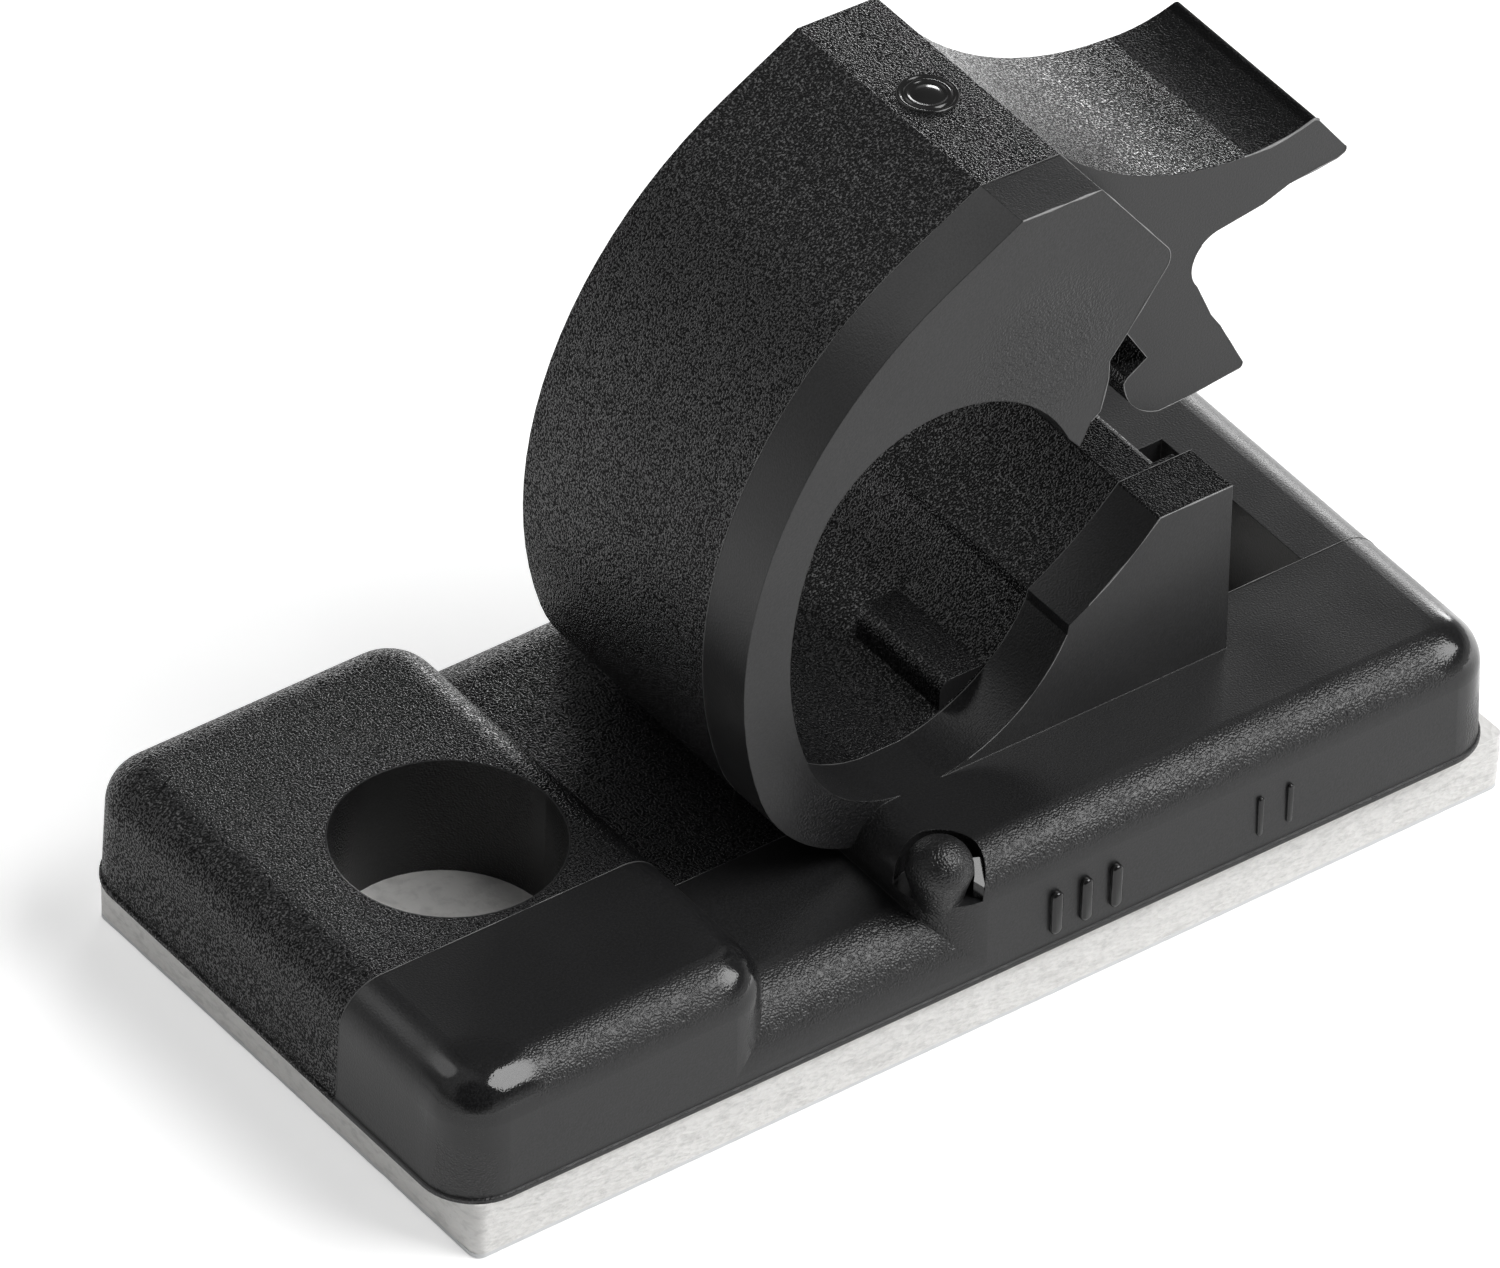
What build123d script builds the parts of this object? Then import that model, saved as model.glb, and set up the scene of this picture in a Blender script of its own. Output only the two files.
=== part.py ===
from build123d import *
import os

os.makedirs("parts", exist_ok=True)

# All sizes are millimetres and degrees. X runs along the base, Y across it, Z up.
# The origin is the centre of the base on the face that sticks to the wall or desk.

# Moulded base
base_length = 27.9
base_width = 14.1
base_corner = 1.35
base_thick = 3.05
lip_height = 0.12
lip_reach = 0.05
wall_draft_angle = 1.5
edge_round = 1.05
block_length = 8.57
block_corner = 1.30
saddle_length = 3.87
saddle_drop = 1.24
saddle_round = 1.48
stage_corner = 1.45

# Adhesive pad under the base, with its release liner
liner_thick = 0.10
foam_thick = 1.35
pad_end_inset = 0.20
pad_side_inset = 0.15
pad_shift = 0.30
pad_corner = 0.25

# Screw hole in the raised block
hole_diameter = 5.16
hole_inset = 4.93
hole_side_shift = 0.30

# Ring, head and post share one side profile, with heights above the base top
ring_width = 7.95
head_back = (2.35, 14.47)
head_slope_angle = 209.5
head_slope_length = 2.2
outer_radius = 9.8
outer_angle = 80.0
heel_foot = (-1.31, -0.92)
root_inset = 0.90
root_height = 0.50
head_seam = (4.44, 14.39)
head_corner = (6.50, 11.75)
head_corner_round = 0.45
jaw_heel = (5.31, 10.12)
jaw_face = [(4.88, 9.58), (4.88, 9.10), (4.70, 8.30), (4.47, 8.12)]
tooth_tip = (4.19, 7.55)
tooth_root = (3.90, 7.89)
bore_heading_angle = 114.6
bore_radii = [3.85, 3.40, 8.20, 3.06, 4.18]
bore_angles = [70.2, 65.0, 43.6, 58.4, 73.8]
post_height = 4.54
post_edge = 6.50
post_face_top = 8.45
post_face_foot = 8.52
ramp_middle = (5.34, 3.46)
ramp_foot = (4.16, 2.66)

# Thumb tab and latch hook, narrower than the ring, drawn from the base top too
tab_width = 4.90
tab_gap = 0.05
tab_end_round = 0.12
tab_crest_round = 0.14
scoop_middle = (6.44, 12.88)
scoop_end = (9.50, 12.02)
tab_middle = (10.60, 12.03)
tab_crest = (11.42, 12.24)
tab_tip = (12.36, 10.99)
tab_underside = [(12.05, 10.86), (10.80, 10.73), (10.10, 10.48)]
neck_top = (8.88, 10.30)
neck_middle = (8.26, 9.74)
neck_foot = (8.40, 9.00)
hook_back = [(8.82, 8.05), (9.10, 7.62)]
hook_corner = (9.84, 6.20)
hook_sole = [(8.34, 6.03), (7.53, 6.00)]
hook_toe_middle = (6.87, 6.40)
hook_toe = (6.54, 7.16)
notch = [(6.62, 7.29), (7.14, 7.63)]
crotch_foot = (5.80, 9.74)
crotch_middle = (5.50, 10.00)
crotch_end = (5.14, 9.91)
tab_root = [(4.60, 11.10), (3.90, 13.50)]

# Catch wall and the slot through the base beside it
catch_face = 7.20
catch_top = 7.54
catch_nose = 7.68
catch_undercut = 0.88
catch_nose_depth = 0.32
catch_nose_height = 0.22
catch_edge_width = 0.12
catch_edge_drop = 0.05
slot_end = 11.70
ledge_end = 8.03
ledge_depth = 0.11
cut_margin = 0.40

# Stop rib on the floor of the ring
rib_face = 1.93
rib_length = 3.30
rib_height = 1.05
rib_crest = 1.12
rib_round = 0.34
rib_slope_run = 0.55
rib_slope_drop = 0.35
rib_end_round = 0.40

# Domed pin in a round pocket at the front corner of the raised stage
pin_diameter = 1.50
pin_from_end = 0.72
pin_from_front = 0.86
dome_below_top = 0.26
pin_foot_diameter = 1.00
pin_foot_depth = 1.15
pocket_diameter = 1.97
pocket_depth = 0.92

# Levels and places that follow from the sizes above
base_bottom = liner_thick + foam_thick
base_top = base_bottom + base_thick
saddle_top = base_top - saddle_drop
near_end = -base_length / 2 + lip_reach
far_end = base_length / 2 - lip_reach
front_wall = -base_width / 2 + lip_reach
block_end = -base_length / 2 + block_length
stage_end = block_end + saddle_length
hole_x = -base_length / 2 + hole_inset
slot_half = tab_width / 2 + tab_gap


def point_on(curve_end):
    """Plane coordinates of a curve end."""
    return (curve_end.X, curve_end.Y)


def from_base_top(profile):
    """Stand a side profile, drawn from the base top, upright in the clip."""
    return Plane.XZ * Pos(0, base_top) * profile


def raised_slab(x_from, x_to, left_round, right_round, top, top_round):
    """A drafted slab with a rounded outline and a rounded top edge."""
    outline = Rectangle(x_to - x_from, base_width - 2 * lip_reach)
    left_corners = outline.vertices().group_by(Axis.X)[0]
    outline = fillet(left_corners, left_round)
    right_corners = outline.vertices().group_by(Axis.X)[-1]
    outline = fillet(right_corners, right_round)
    slab = extrude(outline, top - base_bottom, taper=wall_draft_angle)
    slab = fillet(slab.faces().sort_by(Axis.Z)[-1].edges(), top_round)
    return Pos((x_from + x_to) / 2, 0, base_bottom) * slab


def moulded_base():
    """Block with the screw hole, low saddle and raised stage on one lip."""
    wall_corner = base_corner - lip_reach
    floor = raised_slab(near_end, far_end, wall_corner, wall_corner, saddle_top, saddle_round)
    block = raised_slab(near_end, block_end, wall_corner, block_corner, base_top, edge_round)
    stage = raised_slab(stage_end, far_end, stage_corner, wall_corner, base_top, edge_round)
    lip = extrude(RectangleRounded(base_length, base_width, base_corner), lip_height)
    lip = fillet(lip.edges().group_by(Axis.Z)[-1], lip_reach * 0.8)
    return floor + block + stage + Pos(0, 0, base_bottom) * lip


def ring_bore():
    """Chain of tangent arcs that line the cable room, from the tooth to the ramp."""
    chain = []
    at = tooth_root
    heading = Vector(1, 0).rotate(Axis.Z, bore_heading_angle)
    for radius, angle in zip(bore_radii, bore_angles):
        arc = JernArc(at, heading, radius, angle)
        chain.append(arc)
        at = arc @ 1
        heading = arc % 1
    return chain


def ring_face():
    """Closed side profile of the ring, head, web and post cheeks."""
    slope = PolarLine(head_back, head_slope_length, head_slope_angle)
    back = JernArc(slope @ 1, slope % 1, outer_radius, outer_angle)
    heel = TangentArc(back @ 1, heel_foot, tangent=back % 1)
    bore = ring_bore()
    root = root_height - base_thick
    under = Polyline(
        heel_foot,
        (heel_foot[0] + root_inset, root),
        (post_face_foot, root),
        (post_face_foot, 0),
        (post_face_top, post_height),
        (post_edge, post_height),
    )
    ramp = ThreePointArc((post_edge, post_height), ramp_middle, ramp_foot)
    nose = Line(ramp_foot, point_on(bore[-1] @ 1))
    top = Polyline(head_back, head_seam, head_corner, jaw_heel, *jaw_face, tooth_tip, tooth_root)
    return make_face([slope, back, heel, under, ramp, nose, *bore, top])


def ring_body():
    """Ring with its head and both post cheeks, at full clip width."""
    body = extrude(from_base_top(ring_face()), ring_width / 2, both=True)
    corner_spot = (head_corner[0], 0, base_top + head_corner[1])
    corner = body.edges().filter_by(Axis.Y).sort_by_distance(corner_spot)[0]
    return fillet(corner, head_corner_round)


def latch_face():
    """Closed side profile of the scooped thumb tab, neck and hook."""
    scoop = ThreePointArc(head_seam, scoop_middle, scoop_end)
    flat = ThreePointArc(scoop_end, tab_middle, tab_crest)
    tip = Polyline(tab_crest, tab_tip, *tab_underside, neck_top)
    neck = ThreePointArc(neck_top, neck_middle, neck_foot)
    heel = Polyline(neck_foot, *hook_back, hook_corner, *hook_sole)
    toe = ThreePointArc(hook_sole[-1], hook_toe_middle, hook_toe)
    step = Polyline(hook_toe, *notch, crotch_foot)
    crotch = ThreePointArc(crotch_foot, crotch_middle, crotch_end)
    inside = Polyline(crotch_end, *tab_root, head_seam)
    return make_face([scoop, flat, tip, neck, heel, toe, step, crotch, inside])


def latch_body():
    """Thumb tab and hook with their end corners eased."""
    body = extrude(from_base_top(latch_face()), tab_width / 2, both=True)
    across = body.edges().filter_by(Axis.Y)
    tip_spot = (tab_tip[0], 0, base_top + tab_tip[1])
    hook_spot = (hook_corner[0], 0, base_top + hook_corner[1])
    crest_spot = (tab_crest[0], 0, base_top + tab_crest[1])
    eased = [across.sort_by_distance(spot)[0] for spot in (tip_spot, hook_spot)]
    body = fillet(eased, tab_end_round)
    crest = body.edges().filter_by(Axis.Y).sort_by_distance(crest_spot)[0]
    return fillet(crest, tab_crest_round)


def catch_clearance():
    """Space beside the catch wall: hook room above, slot through the base below."""
    nose_top = post_height - catch_nose_depth
    over_post = post_height + cut_margin
    past_face = post_face_foot + cut_margin
    below = -base_thick - cut_margin
    edge_start = catch_top - catch_edge_width
    room = Polyline(
        (edge_start, over_post),
        (edge_start, post_height),
        (catch_top, post_height - catch_edge_drop),
        (catch_nose, nose_top),
        (catch_nose, nose_top - catch_nose_height),
        (catch_face, post_height - catch_undercut),
        (catch_face, below),
        (slot_end, below),
        (slot_end, cut_margin),
        (past_face, cut_margin),
        (past_face, over_post),
        close=True,
    )
    space = extrude(from_base_top(make_face(room)), slot_half, both=True)
    ledge_height = post_height + base_thick
    ledge = Box(ledge_end - catch_face, ledge_depth, ledge_height)
    ledge_x = (catch_face + ledge_end) / 2
    ledge_y = -slot_half + ledge_depth / 2
    return space - Pos(ledge_x, ledge_y, base_bottom + ledge_height / 2) * ledge


def stop_rib():
    """Short rounded rib standing on the floor of the ring."""
    outline = Polyline(
        (rib_face, -0.3),
        (rib_face, rib_height),
        (rib_face + rib_crest, rib_height),
        (rib_face + rib_crest + rib_slope_run, rib_height - rib_slope_drop),
        (rib_face + rib_crest + rib_slope_run, -0.3),
        close=True,
    )
    rib = extrude(from_base_top(make_face(outline)), rib_length)
    rib = Pos(0, rib_length - tab_width / 2, 0) * rib
    crest_spot = (rib_face, 0, base_top + rib_height)
    crest = rib.edges().filter_by(Axis.Y).sort_by_distance(crest_spot)[0]
    rib = fillet(crest, rib_round)
    far_face = rib.faces().sort_by(Axis.Y)[-1]
    far_crest = far_face.edges().sort_by(Axis.Z)[-1]
    return fillet(far_crest, rib_end_round)


def corner_pin(body):
    """Sink the round pocket in the stage corner and stand the domed pin in it."""
    pin_x = stage_end + pin_from_end
    pin_y = front_wall + pin_from_front
    pocket_floor = base_top - pocket_depth
    pocket = Cylinder(pocket_diameter / 2, base_thick)
    body = body - Pos(pin_x, pin_y, pocket_floor + base_thick / 2) * pocket
    foot = base_top - pin_foot_depth
    dome_centre = base_top - dome_below_top
    side = Polyline((0, foot), (pin_foot_diameter / 2, foot), (pin_diameter / 2, dome_centre))
    dome = CenterArc((0, dome_centre), pin_diameter / 2, 0, 90)
    middle = Line(dome @ 1, (0, foot))
    pin = revolve(Plane.XZ * make_face([side, dome, middle]), Axis.Z)
    return body + Pos(pin_x, pin_y, 0) * pin


def clip_body():
    """The whole moulding as one solid."""
    body = moulded_base() + ring_body() + latch_body()
    body = body - catch_clearance()
    body = body + stop_rib()
    body = corner_pin(body)
    hole = Cylinder(hole_diameter / 2, base_thick * 3)
    return body - Pos(hole_x, hole_side_shift, base_bottom) * hole


def pad_layer(thickness, height):
    """One flat layer of the adhesive pad."""
    length = base_length - 2 * pad_end_inset
    width = base_width - 2 * pad_side_inset
    layer = extrude(RectangleRounded(length, width, pad_corner), thickness)
    return Pos(pad_shift, 0, height) * layer


parts = {
    "clip_body": clip_body(),
    "foam_pad": pad_layer(foam_thick, liner_thick),
    "release_liner": pad_layer(liner_thick, 0),
}

for name, shape in parts.items():
    export_step(shape, f"parts/{name}.step")
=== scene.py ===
import math

import bmesh
import bpy
from bpy.props import FloatProperty, FloatVectorProperty, PointerProperty
from bpy.types import Operator, Panel, PropertyGroup
from mathutils import Matrix, Vector, noise


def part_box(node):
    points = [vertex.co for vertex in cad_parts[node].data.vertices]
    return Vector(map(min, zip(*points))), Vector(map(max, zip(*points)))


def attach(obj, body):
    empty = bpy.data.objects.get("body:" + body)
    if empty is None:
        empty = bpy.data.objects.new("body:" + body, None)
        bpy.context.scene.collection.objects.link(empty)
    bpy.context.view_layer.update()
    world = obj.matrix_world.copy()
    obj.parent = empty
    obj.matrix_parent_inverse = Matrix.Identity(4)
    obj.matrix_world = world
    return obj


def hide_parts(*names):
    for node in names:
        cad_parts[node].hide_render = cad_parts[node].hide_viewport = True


bl_info = {
    "name": "Adhesive Cable Clip Looks",
    "version": (1, 0, 0),
    "blender": (4, 5, 0),
    "location": "View3D > Sidebar > Cable Clip",
    "description": "Dresses the packed cable clip with its finishes, pad, moulding marks and studio",
    "category": "Object",
}

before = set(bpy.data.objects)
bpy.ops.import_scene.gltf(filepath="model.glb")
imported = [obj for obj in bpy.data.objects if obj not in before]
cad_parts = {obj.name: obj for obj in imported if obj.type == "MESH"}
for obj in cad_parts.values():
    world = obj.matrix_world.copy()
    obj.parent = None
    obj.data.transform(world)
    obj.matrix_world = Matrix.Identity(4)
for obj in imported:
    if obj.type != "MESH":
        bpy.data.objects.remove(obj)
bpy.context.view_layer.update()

MM = 0.001
BODY = "root"
BODY_NODE = "clip_body"
PAD_NODE = "foam_pad"
LINER_NODE = "release_liner"
PHOTO_WIDTH = 1500

# Places on the clip, in millimetres

# Screw hole: its axis, and the radii between which the leather stops.
HOLE_AXIS = (-9.02, 0.30, 0.0)
HOLE_RADII = (2.60, 2.63)

# Domed pin: its centre, and the facet that rises in the pocket's right side.
PIN_CENTRE = (-0.79, -6.14, 4.24)
FACET_RADII = (0.755, 0.983)
FACET_TURN = (-48, -14)
FACET_FLOOR = 3.56
FACET_LEVEL = 4.46
FACET_SLOPE = 0.75
FACET_STEPS = 16

# Balls, each a centre, an inner and an outer radius.
POLISHED_CORNERS = (
    ((-13.1, -6.5, 4.1), 0.9, 1.8),
    ((-5.9, -6.5, 4.1), 0.4, 1.3),
    ((13.5, -6.6, 3.9), 0.5, 1.7),
)
FROSTED_PATCHES = (
    ((3.1, -3.98, 15.0), 1.0, 2.8),
    ((-1.8, -3.98, 4.7), 0.7, 1.7),
    (PIN_CENTRE, 0.77, 0.80),
)

# Flat end of the thumb tab and its rounded crest: where each starts along X, their lowest height, and the
# painted shade that darkens each.
THUMB_PAD_X = (9.60, 11.15)
THUMB_PAD_LOW = 15.95
THUMB_PAD_PAINTED_SHADE = (0.72, 0.92)

# Smooth end of the stage: where it starts along X, and where it ends in height.
STAGE_END_X = (6.7, 6.9)
STAGE_END_TOP = (4.55, 4.75)

# Leathery top facet of the post: where it starts along X, the heights it lies between, and the painted shade
# that darkens it.
POST_FACET_X = (6.40, 6.50)
POST_FACET_LOW = (8.99, 9.02)
POST_FACET_HIGH = (9.06, 9.10)
POST_FACET_PAINTED_SHADE = 0.72

# Stretches of crisp edge that carry flash, drawn pale grey as a painted highlight: span along X, span in
# height, share of the radius.
RING_FACE_Y = -3.975
TAB_FACE_Y = -2.45
RING_FLASH = (
    ((2.2, 4.5), (18.7, 19.3), 1.8),
    ((4.4, 7.0), (12.5, 18.95), 1.0),
    ((4.2, 8.8), (7.1, 9.3), 1.0),
    ((0.2, 4.4), (4.6, 7.1), 0.7),
)
TAB_FLASH = (
    ((9.3, 12.5), (16.3, 17.2), 1.8),
    ((8.9, 12.5), (15.2, 16.3), 1.0),
    ((4.5, 9.9), (10.3, 14.6), 0.6),
)

# Round mark from its rim to its middle: shares of the radius and of the rise.
ROUND_MARK_RISE = 0.05
ROUND_MARK_TILT = 2.2
ROUND_MARK_PROFILE = (
    (1.0, -0.60),
    (0.985, 0.30),
    (0.93, 0.85),
    (0.87, 0.55),
    (0.83, 0.05),
    (0.78, 0.05),
    (0.74, 0.65),
    (0.68, 0.95),
    (0.62, 0.60),
    (0.57, 0.10),
    (0.48, 0.12),
    (0.40, 0.55),
    (0.24, 0.95),
    (0.10, 1.10),
    (0, 1.12),
)

# Two groups of bars on the front wall: name, places along X, foot, length, width, share of the relief.
WALL_Y = -6.97
TALLY_GROUPS = (
    ("tally_marks_large", (1.75, 2.55, 3.35), 1.85, 1.15, 0.30, 1.0),
    ("tally_marks_small", (7.25, 8.05), 1.95, 1.05, 0.16, 0.55),
)

# Studio: directions of the dark room on the photographer's side and of the white card at the back left.
DARK_SIDE = (-0.473, -0.609, 0.636)
LEFT_CARD = (-0.347, 0.609, 0.712)

# Softboxes, in metres: place, width and height, share of the key lamp's power.
AIM_POINT = (0.0, 0.0, 0.006)
SOFTBOXES = (
    ("key_softbox", (0.135, -0.135, 0.235), (0.20, 0.20), 1.0),
    ("rim_softbox", (0.20, 0.165, 0.06), (0.10, 0.05), 0.22),
)
FLOOR_SIZE = 1.5
FLOOR_DROP = 0.00002
SENSOR_WIDTH = 36.0


# Properties


class NylonSettings(PropertyGroup):
    """Finish of the black moulded nylon."""

    color: FloatVectorProperty(
        name="Nylon Color",
        description="Colour of the black nylon",
        subtype="COLOR",
        size=3,
        min=0.0,
        max=1.0,
        default=(0.013, 0.013, 0.0135),
    )
    polished_roughness: FloatProperty(
        name="Polished Roughness",
        description="Roughness of the smooth front part",
        subtype="FACTOR",
        min=0.0,
        max=1.0,
        default=0.34,
    )
    leather_roughness: FloatProperty(
        name="Leather Roughness",
        description="Roughness of the leathery back part",
        subtype="FACTOR",
        min=0.0,
        max=1.0,
        default=0.22,
    )
    grain_depth: FloatProperty(
        name="Grain Depth",
        description="Depth of the leathery grain",
        subtype="DISTANCE",
        unit="LENGTH",
        default=0.012 * MM,
    )
    # Painted shade in the grain's pits: the share of their colour mixed towards a dark diffuse.
    pit_painted_shade: FloatProperty(
        name="Pit Shade",
        description="How dark the pits of the grain are, as they shade themselves",
        subtype="FACTOR",
        min=0.0,
        max=1.0,
        default=0.76,
    )
    peak_shine: FloatProperty(
        name="Peak Shine",
        description="Specular level on the peaks of the grain, which are rubbed glossy",
        subtype="FACTOR",
        min=0.0,
        max=1.0,
        default=0.72,
    )
    frost_depth: FloatProperty(
        name="Frost Depth",
        description="Depth of the fine frost that covers every face",
        subtype="DISTANCE",
        unit="LENGTH",
        default=0.022 * MM,
    )
    corner_polish: FloatProperty(
        name="Corner Polish",
        description="Roughness of the corners that the mould has polished",
        subtype="FACTOR",
        min=0.0,
        max=1.0,
        default=0.10,
    )
    parting_y: FloatProperty(
        name="Parting Plane",
        description="Where the mould parts, across the clip",
        subtype="DISTANCE",
        unit="LENGTH",
        default=-2.5 * MM,
    )
    parting_radius: FloatProperty(
        name="Parting Line Radius",
        description="Radius of the fine ridge that the mould leaves",
        subtype="DISTANCE",
        unit="LENGTH",
        default=0.014 * MM,
    )
    flash_radius: FloatProperty(
        name="Edge Flash Radius",
        description="Radius of the flash left on the crisp front edges",
        subtype="DISTANCE",
        unit="LENGTH",
        default=0.018 * MM,
    )
    edge_round: FloatProperty(
        name="Edge Round",
        description="Rounding of the moulding's crisp edges",
        subtype="DISTANCE",
        unit="LENGTH",
        default=0.035 * MM,
    )


class MarkSettings(PropertyGroup):
    """Round mark on the head and raised marks on the front wall."""

    round_centre: FloatVectorProperty(
        name="Round Mark Centre",
        description="Centre of the round mark on the head's top face",
        subtype="TRANSLATION",
        size=3,
        default=(3.32 * MM, 0.65 * MM, 18.933 * MM),
    )
    round_radius: FloatProperty(
        name="Round Mark Radius",
        description="Outer radius of the round mark",
        subtype="DISTANCE",
        unit="LENGTH",
        default=0.69 * MM,
    )
    relief: FloatProperty(
        name="Mark Relief",
        description="How far the raised marks stand out of the front wall",
        subtype="DISTANCE",
        unit="LENGTH",
        default=0.15 * MM,
    )


class PadSettings(PropertyGroup):
    """Foam pad and its liner."""

    color: FloatVectorProperty(
        name="Foam Color",
        description="Colour of the foam",
        subtype="COLOR",
        size=3,
        min=0.0,
        max=1.0,
        default=(0.90, 0.89, 0.87),
    )
    cut_wobble: FloatProperty(
        name="Cut Wobble",
        description="How far the die-cut foam edge wanders in and out",
        subtype="DISTANCE",
        unit="LENGTH",
        default=0.045 * MM,
    )
    turn: FloatProperty(
        name="Pad Turn",
        description="Turn of the pad under the base, as it was stuck on by hand",
        subtype="ANGLE",
        unit="ROTATION",
        default=math.radians(0.33),
    )
    liner_color: FloatVectorProperty(
        name="Liner Color",
        description="Colour of the release liner",
        subtype="COLOR",
        size=3,
        min=0.0,
        max=1.0,
        default=(0.82, 0.83, 0.84),
    )


class StudioSettings(PropertyGroup):
    """Camera, lamps and floor."""

    camera_place: FloatVectorProperty(
        name="Camera Place",
        description="Where the camera stands",
        subtype="TRANSLATION",
        size=3,
        default=(-0.22106, -0.282879, 0.302234),
    )
    azimuth: FloatProperty(
        name="Camera Azimuth",
        description="Turn of the camera round the clip",
        subtype="ANGLE",
        unit="ROTATION",
        default=math.radians(-37.835),
    )
    elevation: FloatProperty(
        name="Camera Elevation",
        description="Height of the camera above the horizon",
        subtype="ANGLE",
        unit="ROTATION",
        default=math.radians(39.519),
    )
    roll: FloatProperty(
        name="Camera Roll",
        description="Lean of the camera",
        subtype="ANGLE",
        unit="ROTATION",
        default=math.radians(2.263),
    )
    focal_pixels: FloatProperty(
        name="Focal Length in Pixels",
        description="Focal length, in pixels of the photograph's width",
        min=1.0,
        default=21768.09,
    )
    key_power: FloatProperty(
        name="Key Lamp Power",
        description="Power of the softbox at the front right",
        subtype="POWER",
        unit="POWER",
        min=0.0,
        default=0.82,
    )
    floor_color: FloatVectorProperty(
        name="Floor Color",
        description="Colour of the floor",
        subtype="COLOR",
        size=3,
        min=0.0,
        max=1.0,
        default=(0.93, 0.93, 0.93),
    )


# Helpers


def add_node(tree, kind, place, inputs=None, **settings):
    """Add one shader node, set its options and unlinked inputs, and return it."""
    node = tree.nodes.new(kind)
    node.location = place
    for key, value in settings.items():
        setattr(node, key, value)
    for key, value in (inputs or {}).items():
        node.inputs[key].default_value = value
    return node


def new_material(name):
    """Empty node material with its output, ready for a shader."""
    material = bpy.data.materials.new(name)
    material.use_nodes = True
    material.node_tree.nodes.clear()
    output = add_node(material.node_tree, "ShaderNodeOutputMaterial", (900, 0))
    return material, material.node_tree, output


def piece_from_bmesh(name, shape, material):
    """Turn a bmesh into a smooth piece of the clip that rides on the body."""
    mesh = bpy.data.meshes.new(name)
    shape.normal_update()
    shape.to_mesh(mesh)
    shape.free()
    mesh.shade_smooth()
    piece = bpy.data.objects.new(name, mesh)
    bpy.context.scene.collection.objects.link(piece)
    mesh.materials.append(material)
    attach(piece, BODY)
    return piece


def millimetre_coordinates(tree):
    """Object coordinates in millimetres, for textures at true scale."""
    coordinates = add_node(tree, "ShaderNodeTexCoord", (-1500, 0))
    scaled = add_node(tree, "ShaderNodeMapping", (-1300, 0), {"Scale": (1000.0, 1000.0, 1000.0)})
    tree.links.new(coordinates.outputs["Object"], scaled.inputs["Vector"])
    return scaled.outputs["Vector"]


def add_math(tree, operation, place, first, second=None):
    """Math node whose one or two inputs are sockets or numbers."""
    node = add_node(tree, "ShaderNodeMath", place, operation=operation)
    for index, value in enumerate((first, second)):
        if value is None:
            continue
        if isinstance(value, (int, float)):
            node.inputs[index].default_value = value
        else:
            tree.links.new(value, node.inputs[index])
    return node.outputs["Value"]


def map_range(tree, place, value, low, high, to_low=0.0, to_high=1.0):
    """Map Range node on a socket, smooth between its ends."""
    node = add_node(tree, "ShaderNodeMapRange", place, interpolation_type="SMOOTHSTEP")
    tree.links.new(value, node.inputs["Value"])
    node.inputs["From Min"].default_value = low
    node.inputs["From Max"].default_value = high
    node.inputs["To Min"].default_value = to_low
    node.inputs["To Max"].default_value = to_high
    return node.outputs["Result"]


# Materials


def compared_with(tree, place, vector, fixed, operation):
    """Distance or dot product between a socket's vector and a fixed one."""
    node = add_node(tree, "ShaderNodeVectorMath", place, operation=operation)
    tree.links.new(vector, node.inputs[0])
    node.inputs[1].default_value = fixed
    return node.outputs["Value"]


def ball_mask(tree, place, vector, centre, inner, outer):
    """1 within the inner radius of a centre, fading to 0 at the outer one, in millimetres."""
    distance = compared_with(tree, place, vector, centre, "DISTANCE")
    return map_range(tree, (place[0] + 200, place[1]), distance, inner, outer, 1.0, 0.0)


def within_balls(tree, place, vector, balls):
    """Largest of the masks of several balls."""
    total = None
    for row, ball in enumerate(balls):
        mask = ball_mask(tree, (place[0] - 400, place[1] + 150 * row), vector, *ball)
        if total is None:
            total = mask
        else:
            total = add_math(tree, "MAXIMUM", (place[0] + 180 * row, place[1]), total, mask)
    return total


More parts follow.
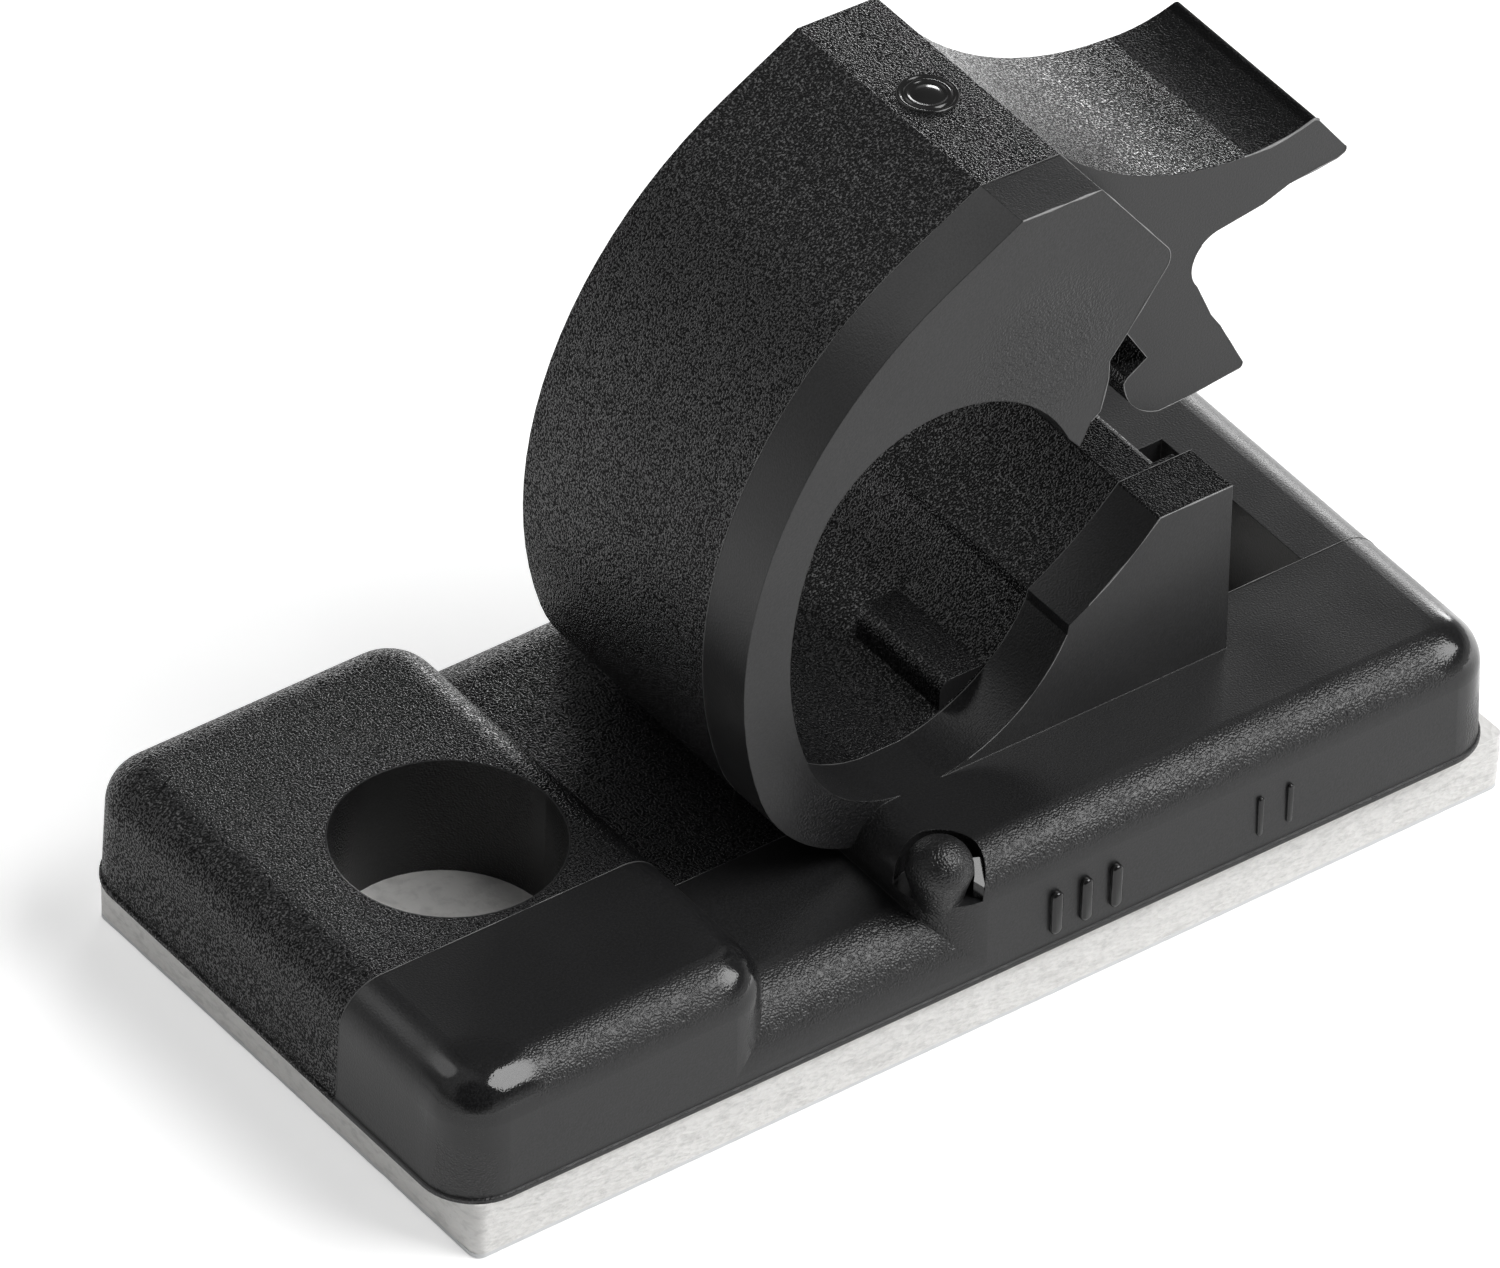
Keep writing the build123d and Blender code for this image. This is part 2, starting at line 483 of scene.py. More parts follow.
def leather_mask(tree, settings, place_mm):
    """Where the mould is leathery, how far each face turns sideways, and where the post's facet is.

    Leather lies behind the parting plane and on the post's facet, off the side faces and the hole.
    """
    link = tree.links.new
    axes = add_node(tree, "ShaderNodeSeparateXYZ", (-1100, 300))
    link(place_mm, axes.inputs[0])
    parting = settings.parting_y / MM
    behind = map_range(tree, (-900, 300), axes.outputs["Y"], parting - 0.02, parting + 0.02)
    facing = add_node(tree, "ShaderNodeNewGeometry", (-1500, 600))
    facing_axes = add_node(tree, "ShaderNodeSeparateXYZ", (-1300, 600))
    link(facing.outputs["True Normal"], facing_axes.inputs[0])
    sideways = add_math(tree, "ABSOLUTE", (-1100, 600), facing_axes.outputs["Y"])
    off_sides = map_range(tree, (-900, 600), sideways, 0.80, 0.95, 1.0, 0.0)
    past_post = map_range(tree, (-900, 900), axes.outputs["X"], *STAGE_END_X)
    low = map_range(tree, (-900, 1100), axes.outputs["Z"], *STAGE_END_TOP, 1.0, 0.0)
    stage_end = add_math(tree, "MULTIPLY", (-700, 1000), past_post, low)
    off_stage_end = add_math(tree, "SUBTRACT", (-500, 1000), 1.0, stage_end)
    flat = add_node(tree, "ShaderNodeCombineXYZ", (-900, 1300))
    link(axes.outputs["X"], flat.inputs["X"])
    link(axes.outputs["Y"], flat.inputs["Y"])
    in_hole = ball_mask(tree, (-700, 1300), flat.outputs["Vector"], HOLE_AXIS, *HOLE_RADII)
    off_hole = add_math(tree, "SUBTRACT", (-300, 1300), 1.0, in_hole)
    on_post = map_range(tree, (-900, 1500), axes.outputs["X"], *POST_FACET_X)
    over_foot = map_range(tree, (-900, 1700), axes.outputs["Z"], *POST_FACET_LOW)
    under_top = map_range(tree, (-900, 1900), axes.outputs["Z"], *POST_FACET_HIGH, 1.0, 0.0)
    post_level = add_math(tree, "MULTIPLY", (-500, 1500), over_foot, under_top)
    post_facet = add_math(tree, "MULTIPLY", (-300, 1500), on_post, post_level)
    mask = add_math(tree, "MAXIMUM", (-900, 450), behind, post_facet)
    mask = add_math(tree, "MULTIPLY", (-700, 450), mask, off_sides)
    mask = add_math(tree, "MULTIPLY", (-300, 900), mask, off_stage_end)
    return add_math(tree, "MULTIPLY", (-100, 900), mask, off_hole), sideways, post_facet


def thumb_pad_painted_shade(tree, place_mm, sideways):
    """How much painted shade darkens the flat end of the thumb tab, and still more its rounded crest."""
    axes = add_node(tree, "ShaderNodeSeparateXYZ", (-500, 2600))
    tree.links.new(place_mm, axes.inputs[0])
    pad_from, crest_from = THUMB_PAD_X
    pad_painted_shade, crest_painted_shade = THUMB_PAD_PAINTED_SHADE
    past = axes.outputs["X"]
    on_pad = map_range(tree, (-300, 2600), past, pad_from - 0.03, pad_from + 0.03, 0.0, pad_painted_shade)
    extra = crest_painted_shade - pad_painted_shade
    on_crest = map_range(tree, (-300, 2800), past, crest_from - 0.06, crest_from + 0.06, 0.0, extra)
    above = map_range(tree, (-300, 3000), axes.outputs["Z"], THUMB_PAD_LOW - 0.05, THUMB_PAD_LOW + 0.05)
    upward = map_range(tree, (-300, 3200), sideways, 0.6, 0.9, 1.0, 0.0)
    shade = add_math(tree, "ADD", (-100, 2700), on_pad, on_crest)
    place_share = add_math(tree, "MULTIPLY", (-100, 3000), above, upward)
    return add_math(tree, "MULTIPLY", (100, 2700), shade, place_share)


def scaled_color(color, share):
    """A colour made darker or lighter, with its alpha."""
    return [channel * share for channel in color] + [1.0]


def shade_mix(tree, place, color, dark_share, light_share):
    """Mix node between a darker and a lighter shade of one colour."""
    mix = add_node(tree, "ShaderNodeMix", place, data_type="RGBA")
    mix.inputs["A"].default_value = scaled_color(color, dark_share)
    mix.inputs["B"].default_value = scaled_color(color, light_share)
    return mix


def nylon_material(settings):
    """Black nylon: leathery behind the parting plane, finely frosted in front, polished at corners, with
    painted shade in the grain's pits, on the thumb tab's end and on the post's facet.
    """
    material, tree, output = new_material("black_nylon_moulded")
    link = tree.links.new
    place_mm = millimetre_coordinates(tree)
    leathery, sideways, post_facet = leather_mask(tree, settings, place_mm)
    polished = within_balls(tree, (-300, 1600), place_mm, POLISHED_CORNERS)
    patched = within_balls(tree, (-300, 2300), place_mm, FROSTED_PATCHES)

    grain = add_node(
        tree,
        "ShaderNodeTexNoise",
        (-900, 0),
        {"Scale": 20.0, "Detail": 1.0, "Roughness": 0.50},
    )
    frost = add_node(
        tree,
        "ShaderNodeTexNoise",
        (-900, -520),
        {"Scale": 22.0, "Detail": 0.0, "Roughness": 0.6},
    )
    blotch = add_node(
        tree,
        "ShaderNodeTexNoise",
        (-900, -780),
        {"Scale": 0.35, "Detail": 1.0, "Roughness": 0.55},
    )
    for texture in (grain, frost, blotch):
        link(place_mm, texture.inputs["Vector"])
    bumps = map_range(tree, (-700, 0), grain.outputs["Fac"], 0.34, 0.68)

    rounded = add_node(tree, "ShaderNodeBevel", (-500, 650), samples=4)
    rounded.inputs["Radius"].default_value = settings.edge_round
    leather_bump = add_node(tree, "ShaderNodeBump", (-300, -50), {"Distance": settings.grain_depth})
    link(leathery, leather_bump.inputs["Strength"])
    link(bumps, leather_bump.inputs["Height"])
    link(rounded.outputs["Normal"], leather_bump.inputs["Normal"])
    on_side = map_range(tree, (-500, -400), sideways, 0.90, 0.99, 1.0, 0.12)
    off_flats = map_range(tree, (-500, -200), sideways, 0.08, 0.30, 0.18, 1.0)
    frosted = add_math(tree, "MULTIPLY", (-400, -300), on_side, off_flats)
    frosted = add_math(tree, "MAXIMUM", (-300, -400), frosted, patched)
    unpolished = map_range(tree, (-500, -600), polished, 0.0, 0.8, 1.0, 0.10)
    frost_amount = add_math(tree, "MULTIPLY", (-100, -450), frosted, unpolished)
    frost_bump = add_node(tree, "ShaderNodeBump", (100, -250), {"Distance": settings.frost_depth})
    link(frost_amount, frost_bump.inputs["Strength"])
    link(frost.outputs["Fac"], frost_bump.inputs["Height"])
    link(leather_bump.outputs["Normal"], frost_bump.inputs["Normal"])

    zone_roughness = add_node(tree, "ShaderNodeMix", (-100, 150), data_type="FLOAT")
    zone_roughness.inputs["A"].default_value = settings.polished_roughness
    zone_roughness.inputs["B"].default_value = settings.leather_roughness
    link(leathery, zone_roughness.inputs["Factor"])
    uneven = map_range(tree, (-300, -780), blotch.outputs["Fac"], 0.3, 0.7, -0.03, 0.04)
    broad_roughness = add_math(tree, "ADD", (100, 100), zone_roughness.outputs["Result"], uneven)
    roughness = add_node(tree, "ShaderNodeMix", (300, 100), data_type="FLOAT")
    roughness.inputs["B"].default_value = settings.corner_polish
    link(broad_roughness, roughness.inputs["A"])
    link(polished, roughness.inputs["Factor"])

    # Base colour darker in the grain's low parts and lighter on its peaks.
    shade = shade_mix(tree, (100, 400), settings.color, 0.80, 1.35)
    link(bumps, shade.inputs["Factor"])

    # Painted shade: the grain's pits, the thumb tab's end and the post's facet are mixed towards a dark
    # diffuse.
    painted_pit_shade = map_range(tree, (100, 700), bumps, 0.10, 0.65, settings.pit_painted_shade, 0.0)
    painted_pit_shade = add_math(tree, "MULTIPLY", (300, 700), painted_pit_shade, leathery)
    # Painted shade on the thumb tab's flat end and crest.
    pad_painted_shade = thumb_pad_painted_shade(tree, place_mm, sideways)
    on_facet = add_math(tree, "MULTIPLY", (100, 500), post_facet, leathery)
    # Painted shade on the post's top facet.
    facet_painted_shade = add_math(tree, "MULTIPLY", (300, 500), on_facet, POST_FACET_PAINTED_SHADE)
    flat_painted_shade = add_math(tree, "MAXIMUM", (400, 600), pad_painted_shade, facet_painted_shade)
    painted_shade = add_math(tree, "MAXIMUM", (500, 700), painted_pit_shade, flat_painted_shade)
    peaks = map_range(tree, (100, 900), bumps, 0.60, 1.0, 0.36, settings.peak_shine)
    shine = add_node(tree, "ShaderNodeMix", (300, 900), data_type="FLOAT")
    shine.inputs["A"].default_value = 0.5
    link(peaks, shine.inputs["B"])
    link(leathery, shine.inputs["Factor"])

    nylon = add_node(tree, "ShaderNodeBsdfPrincipled", (600, 0), {"IOR": 1.53})
    link(shade.outputs["Result"], nylon.inputs["Base Color"])
    link(shine.outputs["Result"], nylon.inputs["Specular IOR Level"])
    link(roughness.outputs["Result"], nylon.inputs["Roughness"])
    link(frost_bump.outputs["Normal"], nylon.inputs["Normal"])
    # Dark diffuse that the painted shade mixes in.
    painted_dark_bsdf = add_node(tree, "ShaderNodeBsdfDiffuse", (600, -400))
    painted_dark_bsdf.inputs["Color"].default_value = scaled_color(settings.color, 0.4)
    surface = add_node(tree, "ShaderNodeMixShader", (780, 0))
    link(painted_shade, surface.inputs["Fac"])
    link(nylon.outputs["BSDF"], surface.inputs[1])
    link(painted_dark_bsdf.outputs["BSDF"], surface.inputs[2])
    link(surface.outputs["Shader"], output.inputs["Surface"])
    return material


def plain_nylon(name, shade, roughness):
    """Plain nylon of one grey, for ridges and marks too fine to carry a texture; the light greys given for
    the ridge and the flash are painted highlights.
    """
    material, tree, output = new_material(name)
    plain = add_node(
        tree,
        "ShaderNodeBsdfPrincipled",
        (400, 0),
        {"Base Color": (shade, shade, shade, 1.0), "Roughness": roughness, "IOR": 1.53},
    )
    tree.links.new(plain.outputs["BSDF"], output.inputs["Surface"])
    return material


def foam_material(settings):
    """White closed-cell foam with fine pores and a fibrous cut side."""
    material, tree, output = new_material("white_foam_tape")
    link = tree.links.new
    place_mm = millimetre_coordinates(tree)
    streaked = add_node(tree, "ShaderNodeMapping", (-1100, -200), {"Scale": (1.0, 1.0, 2.6)})
    link(place_mm, streaked.inputs["Vector"])
    pores = add_node(
        tree,
        "ShaderNodeTexVoronoi",
        (-900, 100),
        {"Scale": 5.0, "Randomness": 1.0},
        feature="F1",
    )
    fibres = add_node(
        tree,
        "ShaderNodeTexNoise",
        (-900, -200),
        {"Scale": 2.4, "Detail": 6.0, "Roughness": 0.65, "Distortion": 0.4},
    )
    link(streaked.outputs["Vector"], pores.inputs["Vector"])
    link(streaked.outputs["Vector"], fibres.inputs["Vector"])
    shade = shade_mix(tree, (0, 300), settings.color, 0.84, 1.0)
    link(map_range(tree, (-500, 300), fibres.outputs["Fac"], 0.32, 0.55), shade.inputs["Factor"])
    height = add_math(tree, "ADD", (-400, -100), pores.outputs["Distance"], fibres.outputs["Fac"])
    bump = add_node(tree, "ShaderNodeBump", (-100, -100), {"Strength": 0.7, "Distance": 0.03 * MM})
    link(height, bump.inputs["Height"])
    foam = add_node(tree, "ShaderNodeBsdfPrincipled", (400, 0), {"Roughness": 0.85, "Sheen Weight": 0.1})
    link(shade.outputs["Result"], foam.inputs["Base Color"])
    link(bump.outputs["Normal"], foam.inputs["Normal"])
    link(foam.outputs["BSDF"], output.inputs["Surface"])
    return material


def liner_material(settings):
    """Coated release paper with faint mottling."""
    material, tree, output = new_material("coated_release_paper")
    link = tree.links.new
    place_mm = millimetre_coordinates(tree)
    mottle = add_node(
        tree,
        "ShaderNodeTexNoise",
        (-900, 0),
        {"Scale": 1.6, "Detail": 4.0, "Roughness": 0.6},
    )
    link(place_mm, mottle.inputs["Vector"])
    shade = shade_mix(tree, (0, 300), settings.liner_color, 0.86, 1.0)
    link(mottle.outputs["Fac"], shade.inputs["Factor"])
    bump = add_node(tree, "ShaderNodeBump", (-100, -100), {"Strength": 0.3, "Distance": 0.01 * MM})
    link(mottle.outputs["Fac"], bump.inputs["Height"])
    paper = add_node(tree, "ShaderNodeBsdfPrincipled", (400, 0), {"Roughness": 0.45})
    link(shade.outputs["Result"], paper.inputs["Base Color"])
    link(bump.outputs["Normal"], paper.inputs["Normal"])
    link(paper.outputs["BSDF"], output.inputs["Surface"])
    return material


def floor_material(settings):
    """White studio floor that keeps the clip's shadow and fades to plain white; to glossy rays it glows,
    brightest behind, a painted glow seen only in the clip's reflections.
    """
    material, tree, output = new_material("white_studio_floor")
    link = tree.links.new
    path = add_node(tree, "ShaderNodeLightPath", (-600, 300))
    paint = add_node(tree, "ShaderNodeBsdfDiffuse", (-200, 0))
    paint.inputs["Color"].default_value = [*settings.floor_color, 1.0]
    lift = add_node(tree, "ShaderNodeEmission", (-200, -200))
    place = add_node(tree, "ShaderNodeTexCoord", (-1400, -400))
    axes = add_node(tree, "ShaderNodeSeparateXYZ", (-1200, -400))
    link(place.outputs["Object"], axes.inputs[0])
    away = add_math(tree, "ADD", (-1000, -400), axes.outputs["X"], axes.outputs["Y"])
    # Painted glow: the floor emits to glossy rays only, more behind the clip.
    glow_behind = map_range(tree, (-800, -400), away, 0.006, 0.030, 0.18, 1.25)
    seen = add_math(tree, "MULTIPLY", (-600, -200), path.outputs["Is Camera Ray"], 0.46)
    reflected_glow = add_math(tree, "MULTIPLY", (-600, -400), path.outputs["Is Glossy Ray"], glow_behind)
    link(add_math(tree, "ADD", (-400, -200), seen, reflected_glow), lift.inputs["Strength"])
    both = add_node(tree, "ShaderNodeAddShader", (200, 0))
    link(paint.outputs["BSDF"], both.inputs[0])
    link(lift.outputs["Emission"], both.inputs[1])
    link(both.outputs["Shader"], output.inputs["Surface"])
    return material


# Operators


class CLIP_OT_nylon_finish(Operator):
    """Give the moulded clip its black nylon finish."""

    bl_idname = "cable_clip.nylon_finish"
    bl_label = "Nylon Finish"

    def execute(self, context):
        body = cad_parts[BODY_NODE]
        material = nylon_material(context.scene.clip_nylon)
        for slot in body.material_slots:
            slot.material = material
        return {"FINISHED"}


def edge_chains(shape):
    """Ordered points of each run of joined edges in a bmesh, and whether it closes on itself."""
    left = set(shape.edges)
    chains = []
    while left:
        ends = [v for e in left for v in e.verts if sum(n in left for n in v.link_edges) != 2]
        if ends:
            start = min(ends, key=lambda v: v.index)
        else:
            start = min(left, key=lambda e: e.index).verts[0]
        chain = [start.co.copy()]
        vert = start
        while True:
            onward = [e for e in vert.link_edges if e in left]
            if not onward:
                break
            edge = onward[0]
            left.discard(edge)
            vert = edge.other_vert(vert)
            if vert is start:
                break
            chain.append(vert.co.copy())
        chains.append((chain, vert is start))
    return chains


class CLIP_OT_parting_line(Operator):
    """Lay the fine ridge that the mould's parting plane leaves round the clip, in a lighter grey that is a
    painted highlight.
    """

    bl_idname = "cable_clip.parting_line"
    bl_label = "Parting Line"

    def execute(self, context):
        settings = context.scene.clip_nylon
        shape = bmesh.new()
        shape.from_mesh(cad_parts[BODY_NODE].data)
        bmesh.ops.remove_doubles(shape, verts=shape.verts, dist=1e-7)
        bmesh.ops.bisect_plane(
            shape,
            geom=shape.verts[:] + shape.edges[:] + shape.faces[:],
            plane_co=(0.0, settings.parting_y - 0.004 * MM, 0.0),
            plane_no=(0.0, 1.0, 0.0),
            clear_inner=True,
            clear_outer=True,
        )
        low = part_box(BODY_NODE)[0].z + 0.3 * MM
        hidden = [edge for edge in shape.edges if min(v.co.z for v in edge.verts) < low]
        bmesh.ops.delete(shape, geom=hidden, context="EDGES")
        shape.verts.index_update()
        shape.edges.index_update()
        if not shape.edges:
            raise RuntimeError("the parting plane doesn't cut the clip")
        runs = []
        for chain, closed in edge_chains(shape):
            points = finely_divided(chain, closed, 0.20 * MM)
            runs.append((points, closed, wavering(points, 1.0, Vector((2.0, 6.0, 4.0)))))
        shape.free()
        # The ridge is real; its lighter grey is a painted highlight.
        tube_piece("parting_line", runs, settings.parting_radius, plain_nylon("thin_nylon_ridge_painted_highlight", 0.09, 0.30))
        return {"FINISHED"}


def tube_piece(name, runs, radius, material):
    """Mesh tube of one radius laid along runs of points, each with its own share of the radius."""
    path_data = bpy.data.curves.new(name, "CURVE")
    path_data.dimensions = "3D"
    path_data.bevel_depth = radius
    path_data.bevel_resolution = 1
    for chain, closed, shares in runs:
        spline = path_data.splines.new("POLY")
        spline.points.add(len(chain) - 1)
        for point, place, share in zip(spline.points, chain, shares):
            point.co = (*place, 1.0)
            point.radius = share
        spline.use_cyclic_u = closed
    path = bpy.data.objects.new(name, path_data)
    bpy.context.scene.collection.objects.link(path)
    bpy.context.view_layer.update()
    tube = bpy.data.meshes.new_from_object(path.evaluated_get(bpy.context.evaluated_depsgraph_get()))
    bpy.data.objects.remove(path)
    tube.name = name
    tube.materials.clear()
    tube.materials.append(material)
    tube.shade_smooth()
    piece = bpy.data.objects.new(name, tube)
    bpy.context.scene.collection.objects.link(piece)
    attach(piece, BODY)
    return piece


def wavering(chain, share, seed):
    """Shares of the radius along a chain, thinner and thicker as real flash is."""
    return [share * (0.75 + 0.9 * noise.noise(place / MM * 1.7 + seed)) for place in chain]


def finely_divided(chain, closed, spacing):
    """The same chain of points, with points added so that none are further apart than the spacing."""
    points = []
    followers = chain[1:] + chain[:1] if closed else chain[1:]
    for place, following in zip(chain, followers):
        count = max(1, math.ceil((following - place).length / spacing))
        points += [place.lerp(following, step / count) for step in range(count)]
    return points if closed else points + [chain[-1]]


class CLIP_OT_edge_flash(Operator):
    """Leave hair-fine flash along the crisp front edges of the ring, post, tab and hook, pale grey as a
    painted highlight.
    """

    bl_idname = "cable_clip.edge_flash"
    bl_label = "Edge Flash"

    def execute(self, context):
        settings = context.scene.clip_nylon
        runs = []
        for face_y, stretches in ((RING_FACE_Y, RING_FLASH), (TAB_FACE_Y, TAB_FLASH)):
            for across, upward, share in stretches:
                shape = bmesh.new()
                shape.from_mesh(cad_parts[BODY_NODE].data)
                bmesh.ops.remove_doubles(shape, verts=shape.verts, dist=1e-7)
                off_edge = []
                for edge in shape.edges:
                    ends = [vert.co / MM for vert in edge.verts]
                    kept = all(
                        abs(end.y - face_y) < 0.01
                        and across[0] <= end.x <= across[1]
                        and upward[0] <= end.z <= upward[1]
                        for end in ends
                    )
                    if not kept or edge.calc_face_angle(0.0) < math.radians(30):
                        off_edge.append(edge)
                bmesh.ops.delete(shape, geom=off_edge, context="EDGES")
                shape.verts.index_update()
                shape.edges.index_update()
                for chain, closed in edge_chains(shape):
                    points = finely_divided(chain, closed, 0.12 * MM)
                    runs.append((points, closed, wavering(points, share, Vector((5.0, 1.0, 9.0)))))
                shape.free()
        if not runs:
            raise RuntimeError("no crisp edges found for the flash")
        # The flash is real; its pale grey is a painted highlight.
        tube_piece("edge_flash", runs, settings.flash_radius, plain_nylon("thin_nylon_flash_painted_highlight", 0.24, 0.25))
        return {"FINISHED"}


def lathe(profile, steps):
    """Bmesh of a radius and height profile turned about Z, closed at its centre."""
    shape = bmesh.new()
    rings = []
    for radius, height in profile:
        if radius == 0:
            rings.append([shape.verts.new((0.0, 0.0, height))])
            continue
        ring = []
        for step in range(steps):
            angle = 2 * math.pi * step / steps
            ring.append(shape.verts.new((radius * math.cos(angle), radius * math.sin(angle), height)))
        rings.append(ring)
    for outer, inner in zip(rings, rings[1:]):
        for step in range(steps):
            after = (step + 1) % steps
            if len(inner) == 1:
                shape.faces.new((outer[step], outer[after], inner[0]))
            else:
                shape.faces.new((outer[step], outer[after], inner[after], inner[step]))
    return shape


class CLIP_OT_round_mark(Operator):
    """Raise the round moulding mark on the head's top face."""

    bl_idname = "cable_clip.round_mark"
    bl_label = "Round Mark"

    def execute(self, context):
        settings = context.scene.clip_marks
        rise = ROUND_MARK_RISE * MM
        profile = [(settings.round_radius * out, rise * up) for out, up in ROUND_MARK_PROFILE]
        shape = lathe(profile, 72)
        tilt = Matrix.Rotation(math.radians(ROUND_MARK_TILT), 4, "Y")
        bmesh.ops.transform(shape, matrix=Matrix.Translation(settings.round_centre) @ tilt, verts=shape.verts)
        glossy = plain_nylon("glossy_nylon_seal", 0.014, 0.14)
        piece_from_bmesh("round_mark", shape, glossy)
        return {"FINISHED"}


def tally_bar(shape, foot, length, width, relief):
    """Add one upright rounded bar to a bmesh: it stands out of the front wall along -Y."""
    half = width / 2
    layers = [(0.0, 0.0), (0.0, 0.60), (0.22, 0.88), (0.55, 1.0)]
    loops = []
    for inset, rise in layers:
        radius = half * (1 - inset)
        loop = []
        for end, start in ((length - half, 0.0), (half, math.pi)):
            for step in range(9):
                angle = start + math.pi * step / 8
                across = radius * math.cos(angle)
                upward = end + radius * math.sin(angle)
                loop.append(shape.verts.new(foot + Vector((across, -relief * rise, upward))))
        loops.append(loop)
    for lower, upper in zip(loops, loops[1:]):
        for index in range(len(lower)):
            after = (index + 1) % len(lower)
            shape.faces.new((lower[index], lower[after], upper[after], upper[index]))
    shape.faces.new(loops[-1])


class CLIP_OT_pin_pocket(Operator):
    """Fill the right side of the pin's pocket with its sloping polished facet."""

    bl_idname = "cable_clip.pin_pocket"
    bl_label = "Pin Pocket Facet"

    def execute(self, context):
        centre_x, centre_y, _ = PIN_CENTRE
        turn_from, turn_to = FACET_TURN
        shape = bmesh.new()
        loops = [[], [], [], []]
        for step in range(FACET_STEPS + 1):
            angle = math.radians(turn_from + (turn_to - turn_from) * step / FACET_STEPS)
            for side, radius in enumerate(FACET_RADII):
                x = centre_x + radius * math.cos(angle)
                y = centre_y + radius * math.sin(angle)
                level = FACET_LEVEL + FACET_SLOPE * (y - centre_y)
                loops[side].append(shape.verts.new((x * MM, y * MM, level * MM)))
                loops[3 - side].append(shape.verts.new((x * MM, y * MM, FACET_FLOOR * MM)))
        for lower, upper in zip(loops, loops[1:] + loops[:1]):
            for step in range(FACET_STEPS):
                shape.faces.new((lower[step], lower[step + 1], upper[step + 1], upper[step]))
        for step in (0, FACET_STEPS):
            shape.faces.new([loop[step] for loop in loops])
        bmesh.ops.recalc_face_normals(shape, faces=shape.faces)
        glossy = plain_nylon("glossy_nylon_facet", 0.014, 0.16)
        piece = piece_from_bmesh("pin_pocket_facet", shape, glossy)
        piece.data.set_sharp_from_angle(angle=math.radians(40))
        return {"FINISHED"}


class CLIP_OT_wall_marks(Operator):
    """Raise two groups of plain tally bars on the front wall of the base."""

    bl_idname = "cable_clip.wall_marks"
    bl_label = "Wall Marks"

    def execute(self, context):
        settings = context.scene.clip_marks
        glossy = plain_nylon("glossy_nylon_mark", 0.012, 0.12)
        for name, places, foot_z, length, width, share in TALLY_GROUPS:
            shape = bmesh.new()
            for x in places:
                foot = Vector((x, WALL_Y, foot_z)) * MM
                tally_bar(shape, foot, length * MM, width * MM, settings.relief * share)
            piece_from_bmesh(name, shape, glossy)
        return {"FINISHED"}


def pad_shape(low, high, levels, settings, wobble, seed, bulge):
    """Bmesh of one die-cut layer: a rounded outline whose cut side wanders and bulges."""
    corner = 0.25 * MM
    spacing = 0.14 * MM
    points = []
    corners = [(high.x, high.y, 0.0), (low.x, high.y, 0.5), (low.x, low.y, 1.0), (high.x, low.y, 1.5)]
    for index, (x, y, turn) in enumerate(corners):
        centre = Vector((x - math.copysign(corner, x), y - math.copysign(corner, y), 0.0))
        for step in range(5):
            angle = math.pi * (turn + 0.5 * step / 4)
            points.append(centre + Vector((math.cos(angle), math.sin(angle), 0.0)) * corner)
        following = corners[(index + 1) % 4]
        x_next = following[0] - math.copysign(corner, following[0])
        y_next = following[1] - math.copysign(corner, following[1])
        angle = math.pi * (turn + 0.5)
        end = Vector((x_next, y_next, 0.0)) + Vector((math.cos(angle), math.sin(angle), 0.0)) * corner
        start = points[-1]
        count = int((end - start).length / spacing)
        for step in range(1, count):
            points.append(start.lerp(end, step / count))
    middle = Vector(((low.x + high.x) / 2, (low.y + high.y) / 2, 0.0))
    turn_about = Matrix.Rotation(settings.turn, 3, "Z")
    shape = bmesh.new()
    loops = []
    for level in range(levels + 1):
        share = level / levels
        height = low.z + (high.z - low.z) * share
        swell = bulge * math.sin(math.pi * share)
        loop = []
        for point in points:
            outward = (point - middle).normalized()
            field = Vector((point.x, point.y, height)) / MM
            shift = noise.noise(field * 1.3 + seed) * 0.6 + noise.noise(field * 4.5 + seed) * 0.4
            moved = turn_about @ (point - middle) + middle + outward * (swell + wobble * shift)
            loop.append(shape.verts.new((moved.x, moved.y, height)))
        loops.append(loop)
    for lower, upper in zip(loops, loops[1:]):
        for index in range(len(lower)):
            after = (index + 1) % len(lower)
            shape.faces.new((lower[index], lower[after], upper[after], upper[index]))
    top = shape.faces.new(loops[-1])
    bottom = shape.faces.new(reversed(loops[0]))
    bmesh.ops.triangulate(shape, faces=[top, bottom])
    return shape


class CLIP_OT_foam_pad(Operator):
    """Build the die-cut foam pad that sticks the clip to the wall."""

    bl_idname = "cable_clip.foam_pad"
    bl_label = "Foam Pad"

    def execute(self, context):
        settings = context.scene.clip_pad
        low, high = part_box(PAD_NODE)
        shape = pad_shape(low, high, 8, settings, settings.cut_wobble, Vector((3.0, 7.0, 1.0)), 0.02 * MM)
        material = foam_material(settings)
        piece = piece_from_bmesh("die_cut_foam", shape, material)
        piece.data.set_sharp_from_angle(angle=math.radians(40))
        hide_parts(PAD_NODE)
        return {"FINISHED"}


class CLIP_OT_release_liner(Operator):
    """Build the thin liner on the underside of the pad."""

    bl_idname = "cable_clip.release_liner"
    bl_label = "Release Liner"

    def execute(self, context):
        settings = context.scene.clip_pad
        low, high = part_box(LINER_NODE)
        shape = pad_shape(low, high, 2, settings, 0.02 * MM, Vector((11.0, 2.0, 5.0)), 0.0)
        material = liner_material(settings)
        piece = piece_from_bmesh("peel_off_liner", shape, material)
        piece.data.set_sharp_from_angle(angle=math.radians(40))
        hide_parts(LINER_NODE)
        return {"FINISHED"}


def aim(lamp, target):
    """Point a lamp's -Z axis at a place."""
    direction = Vector(target) - lamp.location
    lamp.rotation_mode = "QUATERNION"
    lamp.rotation_quaternion = direction.to_track_quat("-Z", "Y")


